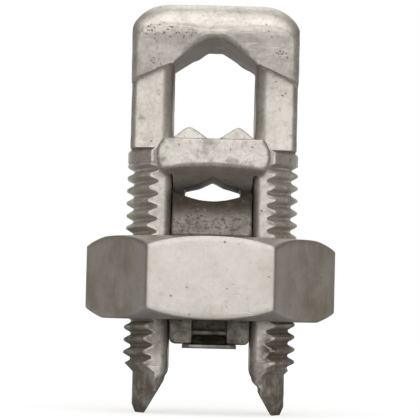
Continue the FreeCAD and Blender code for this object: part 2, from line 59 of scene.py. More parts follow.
groove_steps = [0, 0.07, 0.12, 0.2, 0.29, 0.37, 0.42, 0.47, 0.53, 0.58, 0.63, 0.71, 0.8, 0.88, 0.93]
thread_low = 5.9
thread_lead = 0.8 * pitch
collar_low, collar_top = 36.4, 38.3
collar_radius, collar_bevel = 12.5, 0.45
pilot_radius = 11.13
tip_bevel, tip_bevel_height = 0.5, 1.2
tip_inside = 9.2
taper_angle, taper_round = math.radians(30), 5.0
leg_inside, leg_front = 5.9, 8.6
leg_draft, leg_round = 0.7, 1.1
lean_fade = 1.5
least_width = 0.06
even_wear, burr = 0.08, 0.2
root_stain_low, root_stain_fade = 7.0, 1.5
fleck_low = 3.5
shank_outside, shank_round, shank_inner_round = 12.04, 0.9, 1.7
ledge_share, ledge_slope, ledge_rise = 0.01, 0.5, 0.3
seat_top, seat_flat = 53.9, 1.0
seat_angle, peak_blend = math.radians(32.6), 1.6
seat_slope = math.tan(seat_angle)
seat_low = seat_top - (leg_inside - seat_flat) * seat_slope
head_side = 12.09
head_corner_x, head_corner_z = 5.6, 4.1
head_side_round, head_top_round, growth_start = 1.1, 4.1, 0.6
head_bevel, lip_share = 1.15, 0.1
head_bulge, bulge_length = 0.12, 6.0
head_draft, draft_top, draft_blend = math.tan(math.radians(8)), 55.0, 1.2
dome_radius, dome_start, dome_fade = 50.0, 7.0, 6.0
lip_drop = 0.35
seam_depth = 0.15
slow_sink, quick_sink, crest_sink = 0.035, 0.014, 0.012
# Each chip or dent is given by its middle, its half sizes, and how far its middle is moved.
chips = [((7.2, 0, 3.9), (1.4, 20, 1.0), (0.5, 0, 0.1)),
         ((6.5, 0, 5.3), (0.9, 20, 0.6), (0.25, 0, 0)),
         ((-6.4, 0, 5.2), (0.9, 20, 0.7), (-0.25, 0, 0)),
         ((-6.8, -8.0, 4.5), (1.1, 1.2, 1.1), (-0.2, 0.45, 0)),
         ((-9.0, -8.0, 4.3), (1.0, 1.0, 1.0), (0.1, 0.35, 0)),
         ((7.6, -8.0, 4.4), (0.9, 1.0, 0.9), (0, 0.4, 0)),
         ((-2.5, 12.0, 53.2), (1.5, 3.0, 1.2), (0, 0, -0.3)),
         ((3.8, 12.0, 51.6), (2.0, 3.0, 1.5), (0, 0, -0.35))]
# A row's points go along the inner flat, a corner, the front, the outer line, the back and a corner.
flat_points, corner_points, front_points, outer_points = 22, 4, 16, 58
front_start = flat_points + corner_points
outer_start = front_start + front_points
back_start = outer_start + outer_points
front_go = np.linspace(0, 1, front_points)


def quarter(count):
    """Angles from 0 to a quarter turn."""
    return np.linspace(0, math.pi / 2, count)


corner_bend = quarter(corner_points + 2)[1:-1]


def smooth(x):
    """A step from 0 to 1 with level ends: 3x^2 - 2x^3 for x held between 0 and 1."""
    x = np.clip(x, 0, 1)
    return x * x * (3 - 2 * x)


def waves(points, length, seed):
    """An uneven field between about -1 and 1: the sum of twelve sine waves in random directions, each about
    `length` long, over points whose last axis is x, y, z."""
    rng = np.random.default_rng(seed)
    way = rng.normal(size=(12, 3))
    way *= (2 * math.pi / (length * rng.uniform(0.7, 1.6, 12)) / np.linalg.norm(way, axis=1))[:, None]
    angle = points @ way.T + rng.uniform(0, 2 * math.pi, 12)
    return np.clip(np.sin(angle).sum(axis=-1) / 5, -1, 1)


def sunk(points, depth):
    """A closed sweep's points moved inwards by `depth`, along the cross product of its two directions."""
    along = np.gradient(points, axis=0)
    around = np.roll(points, -1, axis=1) - np.roll(points, 1, axis=1)
    normal = np.cross(along, around)
    normal /= np.maximum(np.linalg.norm(normal, axis=-1, keepdims=True), 1e-9)
    outward = np.sign((normal * (points - points.mean(axis=1, keepdims=True))).sum(axis=-1, keepdims=True))
    return points - normal * outward * depth[..., None]


def placed(name, data):
    """A new object with the given data, put into the scene."""
    thing = bpy.data.objects.new(name, data)
    bpy.context.scene.collection.objects.link(thing)
    return thing


def shell(name, sweeps, caps=(), **values):
    """One closed mesh from sweeps in millimetres. The points of a sweep are rows of closed loops, joined by
    quads, points in the same place are merged, and each cap is a ring closed by one face. Each value is an
    array for the first sweep, kept as an attribute of the points."""
    corners, faces, count = [], [], 0
    for points in sweeps:
        rows, columns = points.shape[:2]
        index = np.arange(rows * columns).reshape(rows, columns) + count
        after = np.roll(index, -1, axis=1)
        faces += np.stack([index[:-1], after[:-1], after[1:], index[1:]], axis=-1).reshape(-1, 4).tolist()
        corners.append(points.reshape(-1, 3))
        count += rows * columns
    for loop in caps:
        faces.append(list(range(count, count + len(loop))))
        corners.append(loop)
        count += len(loop)
    mesh = bpy.data.meshes.new(name)
    mesh.from_pydata((np.concatenate(corners) * MM).tolist(), [], faces)
    for key, value in values.items():
        given = np.pad(value.ravel(), (0, count - value.size)).astype(np.float32)
        mesh.attributes.new(key, "FLOAT", "POINT").data.foreach_set("value", given)
    work = bmesh.new()
    work.from_mesh(mesh)
    bmesh.ops.remove_doubles(work, verts=work.verts, dist=0.002 * MM)
    bmesh.ops.dissolve_degenerate(work, edges=work.edges, dist=0.001 * MM)
    bmesh.ops.recalc_face_normals(work, faces=work.faces)
    work.to_mesh(mesh)
    work.free()
    mesh.shade_smooth()
    mesh.set_sharp_from_angle(angle=math.radians(38))
    return placed(name, mesh)


def thread_height(turn, z):
    """Height of the thread from 0 at its root to 1 at its crest, at an angle `turn` and a height z: a root
    flat, a 30 degree flank, a crest flat, repeated each pitch, with the groove's middle at groove_start."""
    phase = (z - groove_start) / pitch - turn / (2 * math.pi)
    away = np.abs(phase - np.round(phase)) * pitch
    flank = np.clip((away - root_land) / flank_width, 0, 1)
    return 0.6 * flank + 0.4 * smooth(flank)


def leg_radius(turn, z, wear):
    """Outer radius of a leg: the plain tip with its bevel, the lead into the thread, the thread with its
    crests worn down, and the collar, whichever is the smaller or the larger where they meet."""
    thread = root_radius + (thread_depth - wear) * thread_height(turn, z)
    lead = pilot_radius + (z - thread_low) / thread_lead * (crest_radius - pilot_radius)
    tip = pilot_radius - tip_bevel * np.clip(1 - z / tip_bevel_height, 0, 1)
    collar = collar_radius - np.maximum(collar_low - z, 0) / math.tan(thread_flank)
    collar -= np.clip(z - (collar_top - collar_bevel), 0, collar_bevel)
    radius = np.where(z < thread_low, tip, np.minimum(np.maximum(thread, pilot_radius), lead))
    return np.where(z < collar_low, np.maximum(radius, collar), collar)


def crest_wear(place):
    """How much the crests are worn and nicked: a slow uneven field and the peaks of a quick one."""
    return np.clip(waves(place, 1.9, 3) - 0.35, 0, 1) * 0.45 + 0.05 * (1 + waves(place, 4.0, 4))


def ring(inside, front, corner, outer, lip=0):
    """Rows of closed loops around a leg, in the leg's own x and y: the inner flat at x = inside, a quarter
    circle of radius `corner`, the front plane at y = -front, the outer line, and the same behind. A lip
    stands out from the front and back planes."""
    inside, front, corner = inside[:, None], front[:, None], corner[:, None]
    x_bend = inside + corner * (1 - np.cos(corner_bend))
    y_bend = front - corner * (1 - np.sin(corner_bend))
    x_front = inside + corner + (outer[:, :1, 0] - inside - corner) * front_go
    y_front = np.broadcast_to(front, x_front.shape) + lip
    x = np.concatenate([np.broadcast_to(inside, (len(inside), flat_points)), x_bend, x_front,
                        outer[:, 1:-1, 0], x_front[:, ::-1], x_bend[:, ::-1]], axis=1)
    y = np.concatenate([(front - corner) * np.linspace(1, -1, flat_points), -y_bend, -y_front,
                        outer[:, 1:-1, 1], y_front, y_bend[:, ::-1]], axis=1)
    return x, y


def about_axis(turn, radius, z):
    """Points at an angle `turn` about the bolt's axis, a radius and a height."""
    return np.stack([radius * np.cos(turn), radius * np.sin(turn), z + 0 * radius], axis=-1)


def leg_rows(side):
    """The threaded leg on one side (1 or -1), from its tip up to its collar. The rows lean with the helix,
    pitch for each turn, so that crests and roots run along them. The inner side is a slant, an arc of
    taper_round and a flat. Returns the points, the depth below the crest from 0 to 1, and flecks of bare
    torn metal where the thread breaks out of the front and the back."""
    tip = np.concatenate([[0, 0.12], np.arange(0.4, thread_low, 0.27), [thread_low]])
    turns = np.arange(groove_count)[:, None] + groove_steps + (0 if side > 0 else 0.5)
    grooves = (groove_start + pitch * turns).ravel()
    grooves = grooves[(grooves > thread_low + 0.05) & (grooves < collar_low - 0.03)]
    z = np.concatenate([tip, grooves, collar_low + np.array([0, 0.06, 0.4, 0.9]),
                        collar_top - collar_bevel * np.array([1, 0.5, 0])])
    lean = smooth((z - thread_low) / lean_fade) * smooth((collar_low - z) / lean_fade)
    lean = lean * pitch / (2 * math.pi) * side
    front = leg_front - leg_draft * (1 - z / collar_top)
    bend_z = (tip_inside - leg_inside) / math.tan(taper_angle)
    tangent = taper_round * math.tan(taper_angle / 2)
    bend = leg_inside + taper_round - np.sqrt(np.maximum(
        taper_round ** 2 - (bend_z + tangent - z) ** 2, (taper_round * math.cos(taper_angle)) ** 2))
    inside = np.where(z < bend_z - tangent * math.cos(taper_angle), tip_inside - z * math.tan(taper_angle),
                      np.where(z < bend_z + tangent, bend, leg_inside))
    reach = leg_radius(0 if side > 0 else math.pi, z, even_wear)
    front = np.minimum(front, np.sqrt(np.maximum(reach ** 2 - (inside + least_width) ** 2, 0.1)))
    corner = np.clip((np.sqrt(reach ** 2 - front ** 2) - inside) * 0.6, 0.01, leg_round)
    theta = np.arcsin(front / reach)[:, None] * np.linspace(-1, 1, outer_points + 2)
    z_outer = z[:, None] + lean[:, None] * theta
    place = about_axis(theta, reach[:, None], z_outer) * [side, 1, 1]
    radius = leg_radius(theta if side > 0 else math.pi - theta, z_outer, crest_wear(place))
    outer = about_axis(theta, radius, 0)
    ragged = 0.5 + 0.5 * waves(about_axis(0, 0 * z, z), 0.8, 8 + side)
    torn = np.clip((reach - root_radius) / thread_depth, 0, 1) * ragged * smooth((z - thread_low) / 2)
    lip = burr * torn[:, None] * smooth((front_go - 0.45) / 0.45)
    lip[:, -1] = 0
    x, y = ring(inside, front, corner, outer, lip)
    rise, depth, flecks = np.zeros((3, *x.shape))
    rise[:, front_start:outer_start] = (z_outer[:, 0] - z)[:, None] * front_go
    rise[:, outer_start:back_start] = (z_outer - z[:, None])[:, 1:-1]
    rise[:, back_start:-corner_points] = (z_outer[:, -1] - z)[:, None] * front_go[::-1]
    dark_share = smooth((z_outer - root_stain_low) / root_stain_fade)
    depth[:, outer_start - 1:back_start + 1] = np.clip((crest_radius - radius) / thread_depth, 0, 1) * dark_share
    points = np.stack([side * x, y, z[:, None] + rise], axis=-1)
    near_end = smooth((front_go - 0.35) / 0.5) * smooth(z - fleck_low)[:, None]
    for first, fade in ((front_start, near_end), (back_start, near_end[:, ::-1])):
        part = slice(first, first + front_points)
        flecks[:, part] = np.clip(waves(points[:, part], 0.6, 31) * 2.2, 0, 1) * fade
    return points, depth, flecks


def shank_rows(side):
    """The plain shank on one side: rounded rectangles whose outer line is a quarter circle, a flat side and
    a quarter circle. The rows turn from level at the collar to the slope of the ledge under the head, and
    the last three flare into it."""
    climb = np.concatenate([[0, 0.004, 0.012], np.linspace(0.03, 0.97, 34), [0.985, 0.995]])
    flare = np.concatenate([np.zeros(len(climb) - 3), [0.02, 0.1, 0.3]])[:, None]
    bend = quarter(10)
    x_bend = shank_outside + np.minimum(flare, 0.04) - shank_round * (1 - np.sin(bend))
    y_bend = -leg_front - flare + shank_round * (1 - np.cos(bend))
    y_side = y_bend[:, -1:] * np.linspace(1, -1, outer_points + 4 - 2 * len(bend))[1:-1]
    outer = np.stack([np.concatenate([x_bend, x_bend[:, -1:] + 0 * y_side, x_bend[:, ::-1]], axis=1),
                      np.concatenate([y_bend, y_side, -y_bend[:, ::-1]], axis=1)], axis=-1)
    even = np.ones(len(climb))
    x, y = ring(leg_inside * even, leg_front + flare[:, 0], shank_inner_round * even, outer)
    from_edges = smooth((x - leg_inside) / shank_inner_round) * smooth((shank_outside - x) / shank_round)
    ledge = seat_low - (x - leg_inside) * ledge_slope + ledge_rise * from_edges
    z = collar_top + (ledge - collar_top) * climb[:, None]
    return np.stack([side * x, y, z], axis=-1)


def head_rows(side):
    """Half of the arched head, from the ledge under its outer part to the middle. Each row is a loop in a
    plane that fans from the wire's seat to the head's outline, whose corners are quarter ellipses. It has a
    rounded lip inside, a front that bulges towards the outline, and an outer edge whose rounding grows from
    the sides to the top. At the legs the lip in front hangs lower. At a depth d below draft_top the front
    leans back by the draft times (d + sqrt(d^2 + blend^2)) / 2, and the top is an arc, front to back."""
    start_bend = quarter(7)
    go = np.concatenate([ledge_share * (1 - np.cos(start_bend)),
                         ledge_share + (1 - ledge_share) * np.linspace(0, 1, 60)[1:]])
    rises = np.concatenate([np.sin(start_bend), np.ones(59)])
    slope = (leg_inside - seat_flat) / math.cos(seat_angle)
    seat = go * (slope + seat_flat)
    x_in = np.where(seat < slope, leg_inside - seat * math.cos(seat_angle), seat_flat - (seat - slope))
    z_in = np.where(seat < slope, seat_top - (x_in - seat_flat) * seat_slope, seat_top)
    tilt = seat_angle * (1 - smooth((seat - slope + peak_blend / 2) / peak_blend))
    side_low = seat_low - (head_side - leg_inside) * ledge_slope
    straight = head_top - head_corner_z - side_low
    arc = (head_corner_x + head_corner_z) / 2 * math.pi / 2
    way = go * (straight + arc + head_side - head_corner_x)
    turn = np.clip((way - straight) / arc, 0, 1) * math.pi / 2
    x_out = head_side - head_corner_x * (1 - np.cos(turn)) - np.maximum(way - straight - arc, 0)
    z_out = side_low + np.minimum(way, straight) + head_corner_z * np.sin(turn)
    growth = smooth((way - growth_start * straight) / ((1 - growth_start) * straight + arc))
    edge_round = head_side_round + (head_top_round - head_side_round) * growth
    inner_y = head_front - head_bulge - head_bevel
    climbed = np.clip(seat / slope, 0, 1)
    bevel = head_bevel * (lip_share + (1 - lip_share) * climbed)
    drop = lip_drop * (1 - climbed) * rises
    across = np.linspace(1, -1, flat_points) * inner_y
    bend = quarter(14)
    wide = np.linspace(-1, 1, outer_points - 2 * len(bend) + 4)[1:-1]
    hang = np.concatenate([1 - np.cos(corner_bend), 1 - front_go])
    rows = []
    for i, rise in enumerate(rises):
        start = np.array([x_in[i], z_in[i]])
        end = np.array([x_out[i] - seam_depth * (1 - rise), z_out[i]])
        lift = bevel[i] * np.array([math.sin(tilt[i]), math.cos(tilt[i])]) * rise
        front = inner_y + (head_front - inner_y) * rise
        corner = max(edge_round[i] - (head_front - front), 0.05)
        length = np.linalg.norm(end - start)
        step = (end - start) / length
        face = start + lift + (end - step * corner - start - lift) * front_go[:, None]
        low = start + lift * (1 - np.cos(corner_bend[:, None]))
        out = end - step * corner * (1 - np.sin(bend))[:, None]
        xz = np.concatenate([np.broadcast_to(start, (flat_points, 2)), low, face, out[1:],
                             np.broadcast_to(end, (len(wide), 2)), out[:0:-1], face[::-1], low[::-1]])
        xz[flat_points:outer_start, 1] -= drop[i] * hang
        bulge = head_bulge * float(smooth((length - corner - head_bevel) / bulge_length))
        sunken = bulge * rise * (1 - front_go) ** 1.5
        y_low = inner_y + (front - sunken[0] - inner_y) * np.sin(corner_bend)
        y_face = front - sunken
        y_out = front - corner * (1 - np.cos(bend))
        y = np.concatenate([across, -y_low, -y_face, -y_out[1:], wide * (front - corner), y_out[:0:-1],
                            y_face[::-1], y_low[::-1]])
        rows.append(np.stack([side * xz[:, 0], y, xz[:, 1]], axis=-1))
    rows = np.stack(rows)
    down = draft_top - rows[..., 2]
    rows[..., 1] *= 1 - head_draft * (down + np.sqrt(down ** 2 + draft_blend ** 2)) / 2 / head_front
    near_top = smooth((rows[..., 2] - head_top + dome_start) / dome_fade)
    rows[..., 2] -= rows[..., 1] ** 2 / (2 * dome_radius) * near_top
    return rows


def forged_bolt():
    """The whole bolt as one sweep: up the left leg, over the head and down the right leg, with the forged
    parts sunk by slow and quick waves. `hollow` is 1 in the thread's roots, which are stained, and on the
    inward faces, which get painted shade."""
    left, left_depth, left_torn = leg_rows(-1)
    right, right_depth, right_torn = leg_rows(1)
    over = [shank_rows(-1), head_rows(-1)[:-1], head_rows(1)[::-1], shank_rows(1)[::-1]]
    points = np.concatenate([left] + over + [right[::-1]])
    inward_shade, plain = np.zeros((2, sum(len(part) for part in over), points.shape[1]))
    # Painted shade: the inward faces get a hollow value, so that they are darkened like the thread's roots.
    inward_shade[:, :flat_points] = 1
    inward_shade[:, [flat_points, -1]] = 0.6
    hollow = np.concatenate([left_depth, inward_shade, right_depth[::-1]])
    torn = np.concatenate([left_torn, plain, right_torn[::-1]])
    forged = smooth((points[..., 2] - collar_top - 0.3) / 2)
    crest = np.clip(1 - hollow * 3, 0, 1) * (1 - forged)
    rough = slow_sink * (1 + waves(points, 7.0, 1)) + quick_sink * (1 + waves(points, 1.7, 2))
    points = sunk(points, rough * forged + crest_sink * (1 + waves(points, 1.1, 5)) * crest)
    for centre, size, move in chips:
        near = smooth(1 - np.linalg.norm((points - centre) / size, axis=-1))
        points = points + near[..., None] * np.array(move)
    return shell("forged_bolt", [points], caps=(points[0], points[-1]), hollow=hollow, torn=torn)


bolt = forged_bolt()
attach(bolt, "bolt")
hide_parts("stud")


def node(kind, inputs, output=0, **settings):
    """Adds a shader node to the tree of the outputs that are among its inputs, sets its inputs to values or
    links them to those outputs, and returns one output."""
    tree = next(value.id_data for value in inputs.values() if isinstance(value, bpy.types.NodeSocket))
    made = tree.nodes.new("ShaderNode" + kind)
    for key, value in settings.items():
        setattr(made, key, value)
    for key, value in inputs.items():
        if isinstance(value, bpy.types.NodeSocket):
            tree.links.new(value, made.inputs[key])
        else:
            made.inputs[key].default_value = value
    return made.outputs[output]


def spread(value, low, high, to_low=0.0, to_high=1.0):
    """A smooth step of a value from one range to another."""
    return node("MapRange", {0: value, 1: low, 2: high, 3: to_low, 4: to_high},
                interpolation_type="SMOOTHSTEP")


def noise(place, scale, detail=2.0, roughness=0.5):
    """Cloudy noise between 0 and 1, with `scale` clouds to the metre."""
    return node("TexNoise", {"Vector": place, "Scale": scale, "Detail": detail, "Roughness": roughness})


def joined(operation, first, *others):
    """Values joined one after the other by one kind of arithmetic."""
    for other in others:
        first = node("Math", {0: first, 1: other}, operation=operation)
    return first


def product(*values):
    """The product of some values."""
    return joined("MULTIPLY", *values)


def largest(*values):
    """The largest of some values."""
    return joined("MAXIMUM", *values)


def blend(share, first, second, way="MIX"):
    """Two colours mixed by a share from 0 to 1."""
    return node("Mix", {0: share, 6: first, 7: second}, 2, data_type="RGBA", blend_type=way)


def kept(place, name):
    """A value that the mesh keeps for each of its points, for use in the tree of `place`."""
    made = place.id_data.nodes.new("ShaderNodeAttribute")
    made.attribute_name = name
    return made.outputs["Fac"]


def coordinate(place, axis):
    """A place's X, Y or Z in metres."""
    return node("SeparateXYZ", {"Vector": place}, axis)


def from_middle(place):
    """How far a place lies to the left or right of the middle, in metres."""
    return node("Math", {0: coordinate(place, "X")}, operation="ABSOLUTE")


def effect(name, kind, **others):
    """A new node group with a result of a kind and inputs for a place, a scale and others. Returns the
    sockets that the inputs come from, and the one that the result goes to."""
    inputs = {"Place": "Vector", "Scale": "Float", **others}
    tree = bpy.data.node_groups.new(name, "ShaderNodeTree")
    for label, its_kind in inputs.items():
        tree.interface.new_socket(label, in_out="INPUT", socket_type="NodeSocket" + its_kind)
    tree.interface.new_socket("Result", in_out="OUTPUT", socket_type="NodeSocket" + kind)
    sources = list(tree.nodes.new("NodeGroupInput").outputs)[:len(inputs)]
    return *sources, tree.nodes.new("NodeGroupOutput").inputs["Result"]


def ended(value, out):
    """Links a group's result to its output, and returns the group."""
    out.id_data.links.new(value, out)
    return out.id_data


def mottled_tin():
    """Cloudy tin: two noises, one five times finer, mix a light and a dark tone, with greenish specks."""
    place, scale, contrast, light, dark, specks, out = effect(
        "mottled_tin", "Color", Contrast="Float", Light="Color", Dark="Color", Specks="Float")
    fine = noise(place, product(scale, 5.0), 3.0, 0.65)
    cloud = node("Mix", {0: 0.45, 2: noise(place, scale, 4.0, 0.6), 3: fine})
    color = blend(product(spread(cloud, 0.38, 0.64), contrast), light, dark)
    speck = spread(noise(place, product(scale, 3.1), 1.0), 0.62, 0.72)
    green = blend(1.0, color, (0.52, 0.55, 0.45, 1), "MULTIPLY")
    return ended(blend(product(speck, specks), color, green), out)


def casting_pits():
    """Small uneven pits in clusters: the middles of those cells of a Voronoi pattern, bent by noise, whose
    random value is under the given share, which is more where a slow noise is high."""
    place, scale, share, out = effect("casting_pits", "Float", Share="Float")
    bent = node("TexNoise", {"Vector": place, "Scale": scale, "Detail": 2.0}, "Color")
    bend = node("VectorMath", {0: bent, 3: 0.0005}, operation="SCALE")
    bent_place = node("VectorMath", {0: place, 1: bend}, operation="ADD")
    distance = node("TexVoronoi", {"Vector": bent_place, "Scale": scale}, "Distance")
    chance = node("SeparateColor", {"Color": distance.node.outputs["Color"]})
    cluster = spread(noise(place, 260.0, 1.0), 0.4, 0.7, 0.1, 1.9)
    chosen = joined("LESS_THAN", chance, product(cluster, share))
    return ended(product(spread(distance, 0.05, 0.4, 1.0, 0.0), chosen), out)


def handling_marks():
    """Thin scratches in two directions: noise drawn out along each, cut to its peaks, in patches."""
    place, scale, share, out = effect("handling_marks", "Float", Share="Float")
    lines = []
    for turn, stretch in (((0.3, 0.9, 0.5), (1.0, 22.0, 14.0)), ((0.2, 0.35, 0.1), (24.0, 17.0, 1.2))):
        drawn = node("Mapping", {"Vector": place, "Rotation": turn, "Scale": stretch})
        lines.append(spread(noise(drawn, scale, 1.0), 0.66, 0.72))
    patch = spread(noise(place, product(scale, 1.3)), 0.5, 0.62)
    return ended(product(largest(*lines), patch, share), out)


def tin_relief():
    """The plating's fine relief: grain, less the pits and the scratches, as a bumped normal."""
    place, scale, grain, pits, marks, depth, out = effect(
        "tin_relief", "Vector", Grain="Float", Pits="Float", Marks="Float", Depth="Float")
    height = product(noise(place, scale, 3.0, 0.6), grain)
    height = joined("SUBTRACT", height, pits, product(marks, 0.4))
    return ended(node("Bump", {"Height": height, "Distance": depth, "Strength": 1.0}), out)


tin_color, tin_pits, tin_marks, tin_bumps = mottled_tin(), casting_pits(), handling_marks(), tin_relief()


def tinned(thing, name, grime_and_shade, light, dark, stain_and_shade, scale=500, contrast=1.0, specks=0.3, pit_scale=1500,
           pit_share=0.3, mark_share=0.5, grain=0.5, depth=0.00006, metal=0.75, rough=0.42):
    """Gives a piece its tin: mottled, pitted and scratched, and darkened where `grime_and_shade` gives a
    share, which is stain and on some pieces painted shade. Over the tin lie that dark tone, again on worn
    edges, bare torn metal, dark pits and bright scratches."""
    material = bpy.data.materials.new(name)
    material.use_nodes = True
    tree = material.node_tree
    shader = tree.nodes["Principled BSDF"]
    place = tree.nodes.new("ShaderNodeTexCoord").outputs["Object"]
    color = node("Group", {"Place": place, "Scale": scale, "Contrast": contrast, "Light": (*light, 1),
                           "Dark": (*dark, 1), "Specks": specks}, node_tree=tin_color)
    pitted = pit_share(place) if callable(pit_share) else pit_share
    pits = node("Group", {"Place": place, "Scale": pit_scale, "Share": pitted}, node_tree=tin_pits)
    marks = node("Group", {"Place": place, "Scale": 160, "Share": mark_share}, node_tree=tin_marks)
    normal = node("Group", {"Place": place, "Scale": scale * 5, "Grain": grain, "Pits": pits,
                            "Marks": marks, "Depth": depth}, node_tree=tin_bumps)
    # The dark share is stain, and on the bolt, nut, bar and spacer also painted shade.
    dark_share = grime_and_shade(place)
    for share, tone in ((dark_share, stain_and_shade), (product(spread(kept(place, "edge"), 0.35, 0.9), 0.45), stain_and_shade),
                        (product(spread(kept(place, "torn"), 0.35, 0.75), 0.8), light),
                        (product(pits, 0.65), [0.6 * c for c in stain_and_shade]),
                        (product(marks, 0.5), [min(1.0, 1.25 * c) for c in light])):
        color = blend(share, color, (*tone, 1))
    tree.links.new(color, shader.inputs["Base Color"])
    tree.links.new(normal, shader.inputs["Normal"])
    for label, clean, dirty in (("Roughness", rough, rough + 0.2), ("Metallic", metal, metal * 0.4),
                                ("Specular IOR Level", 0.5, 0.1)):
        tree.links.new(spread(dark_share, 0, 1, clean, dirty), shader.inputs[label])
    thing.data.materials.append(material)


def spot(place, centre, size):
    """1 at a centre in millimetres, falling to 0 at an ellipsoid of the given half sizes."""
    away = node("VectorMath", {0: place, 1: [c * MM for c in centre]}, operation="SUBTRACT")
    away = node("VectorMath", {0: away, 1: [1 / (h * MM) for h in size]}, operation="MULTIPLY")
    return spread(node("VectorMath", {0: away}, "Value", operation="LENGTH"), 0.2, 1.0, 1.0, 0.0)


def bolt_pits(place):
    """Few pits in general, and clusters of them where the forging's front is rough."""
    rough = [spot(place, centre, size) for centre, size in (
        ((-8.3, -12, 54.8), (3.0, 4, 1.7)), ((-4.1, -12, 54.5), (2.2, 4, 1.1)),
        ((9.3, -12, 51.8), (1.6, 4, 1.5)), ((-8.2, -12, 50.2), (1.6, 4, 1.2)), ((1, 12, 54), (7, 4, 2)))]
    return spread(largest(*rough), 0, 0.8, 0.03, 2.0)


def bolt_grime_and_shade(place):
    """Brown stain on the leg tips and in the thread's grooves, most in the lower ones, painted shade on the
    inward faces of the slot up under the head, and stain on two worn spots and a darker one, outside on the
    lower legs, and in patches."""
    cloud = noise(place, 420.0, 4.0, 0.65)
    height = coordinate(place, "Z")
    bare = spot(place, (-7.2, -8.5, 5.8), (2.2, 4.0, 3.0))
    tips = product(spread(height, 0.0035, 0.0105, 0.85, 0.0), spread(cloud, 0.3, 0.6),
                   spread(bare, 0.1, 0.7, 1.0, 0.1))
    # Full on the lower grooves for their stain, and high above the shank for painted shade on the inward
    # faces.
    strong = largest(spread(height, 0.0125, 0.015, 1.0, 0.15), spread(height, 0.042, 0.048, 0.0, 0.85))
    groove_stain_and_inward_shade = product(spread(kept(place, "hollow"), 0.1, 0.75), spread(cloud, 0.2, 0.5, 0.4, 0.8), strong)
    worn = largest(spot(place, (8.9, -8.0, 9.5), (2.2, 3.0, 3.4)),
                   spot(place, (-9.0, -9.0, 17.0), (2.0, 3.0, 2.5)))
    worn = product(worn, spread(cloud, 0.4, 0.55))
    darker_patches = product(spot(place, (-7.6, -8.5, 13.0), (4.0, 4.0, 6.0)), spread(cloud, 0.3, 0.6, 0.35, 0.75))
    outer = product(spread(from_middle(place), 0.0085, 0.01),
                    spread(height, 0.012, 0.0145, 0.7, 0.0), spread(cloud, 0.35, 0.6, 0.3, 1.0))
    patches = product(spread(cloud, 0.6, 0.75), 0.4)
    return largest(tips, groove_stain_and_inward_shade, worn, darker_patches, outer, patches)


tinned(bolt, "tinned_forging", bolt_grime_and_shade, (0.87, 0.83, 0.77), (0.66, 0.62, 0.56), (0.24, 0.20, 0.145),
       scale=330, pit_scale=2300, pit_share=bolt_pits, metal=0.7, rough=0.44)

# The nut: turned and threaded hexagon bar, 1 1/4 in across its flats, with a 30 degree chamfer on each end.
# Its flats are smooth, and its bore runs on the thread of both legs.
nut_low, nut_high = np.array(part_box("nut")) / MM
half_flats = nut_high[1]
chamfer_radius = half_flats - 0.15
chamfer_slope = math.tan(math.radians(30))
thread_clearance = 0.2
mouth_radius = 13.05
edge_round = 0.13
corner_power = 150
bore_rows = 96
cone_steps = [0.04, 0.2, 0.4, 0.6, 0.8, 0.93]


def dome(radius):
    """Depth of the chamfer under the nut's face: 30 degrees to the corners, flatter near the face."""
    out = np.maximum(radius - chamfer_radius, 0)
    return out * chamfer_slope * (0.7 + 0.3 * out / (half_flats / math.cos(math.pi / 6) - chamfer_radius))


def hexagon_nut():
    """A closed profile carried around the axis: up the bore, out over the upper face, down the hexagon's
    side and in under the lower face. The hexagon's radius is the flats' distance over the root of the sum
    of high powers of the cosines to the six flats, which rounds its corners. A fifth power makes the steps
    around shorter towards them."""
    along = np.linspace(-1, 1, 49)[:-1]
    sector = math.radians(30) * (1.2 * along - 0.2 * along ** 5) + math.radians(30)
    theta = (sector + np.arange(6)[:, None] * math.radians(60)).ravel()
    flats = np.radians(np.arange(6) * 60 + 30)
    near = np.clip(np.cos(theta[:, None] - flats), 0, 1)
    hexagon = half_flats / (near ** corner_power).sum(axis=1) ** (1 / corner_power)
    low, high = nut_low[2], nut_high[2]
    z = np.linspace(low, high, bore_rows)[:, None]
    bore = root_radius + thread_depth * thread_height(theta, z) + thread_clearance
    bore = np.maximum(bore, mouth_radius - np.minimum(z - low, high - z))
    face_go = np.linspace(0, 1, 8)[1:, None]
    face = mouth_radius + (chamfer_radius - 0.15 - mouth_radius) * face_go + 0 * theta
    cone_go = np.array(cone_steps)[:, None]
    cone = chamfer_radius + (hexagon - edge_round - chamfer_radius) * cone_go
    bend = hexagon - edge_round * np.array([[0.45], [0.12]])
    end = np.concatenate([face, cone, bend])
    drop = np.concatenate([0 * face, dome(cone), dome(hexagon) + edge_round * np.array([[0.12], [0.6]])])
    top = high - dome(hexagon) - edge_round * 1.4
    side = top + (low + high - 2 * top) * np.linspace(0, 1, 18)[:, None]
    radius = np.concatenate([bore, end, hexagon + 0 * side, end[::-1], bore[:1]])
    height = np.concatenate([z + 0 * bore, high - drop, side, low + drop[::-1], low + 0 * bore[:1]])
    hollow = np.zeros(radius.shape)
    hollow[:bore_rows] = np.clip((bore - root_radius) / thread_depth, 0, 1)
    return shell("hexagon_nut", [about_axis(theta, radius, height)], hollow=hollow)


nut = hexagon_nut()
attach(nut, "nut")
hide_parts("nut")


def nut_grime_and_shade(place):
    """Stain in the bore's thread, painted shade in blotches on the flats to the sides, and a thin haze in
    front.
    """
    haze = largest(spread(noise(place, 120.0, 3.0), 0.5, 0.75),
                   spot(place, (8.4, -15.9, 19.5), (2.5, 2.0, 4.5)))
    blotch = spread(noise(place, 230.0, 4.0, 0.6), 0.35, 0.7, 0.1, 0.55)
    # Painted shade: the flats that face to the sides are darkened in blotches.
    darker_patches = product(spread(from_middle(place), 0.0095, 0.0125), blotch)
    return largest(product(kept(place, "hollow"), 0.7), darker_patches, product(haze, 0.14))


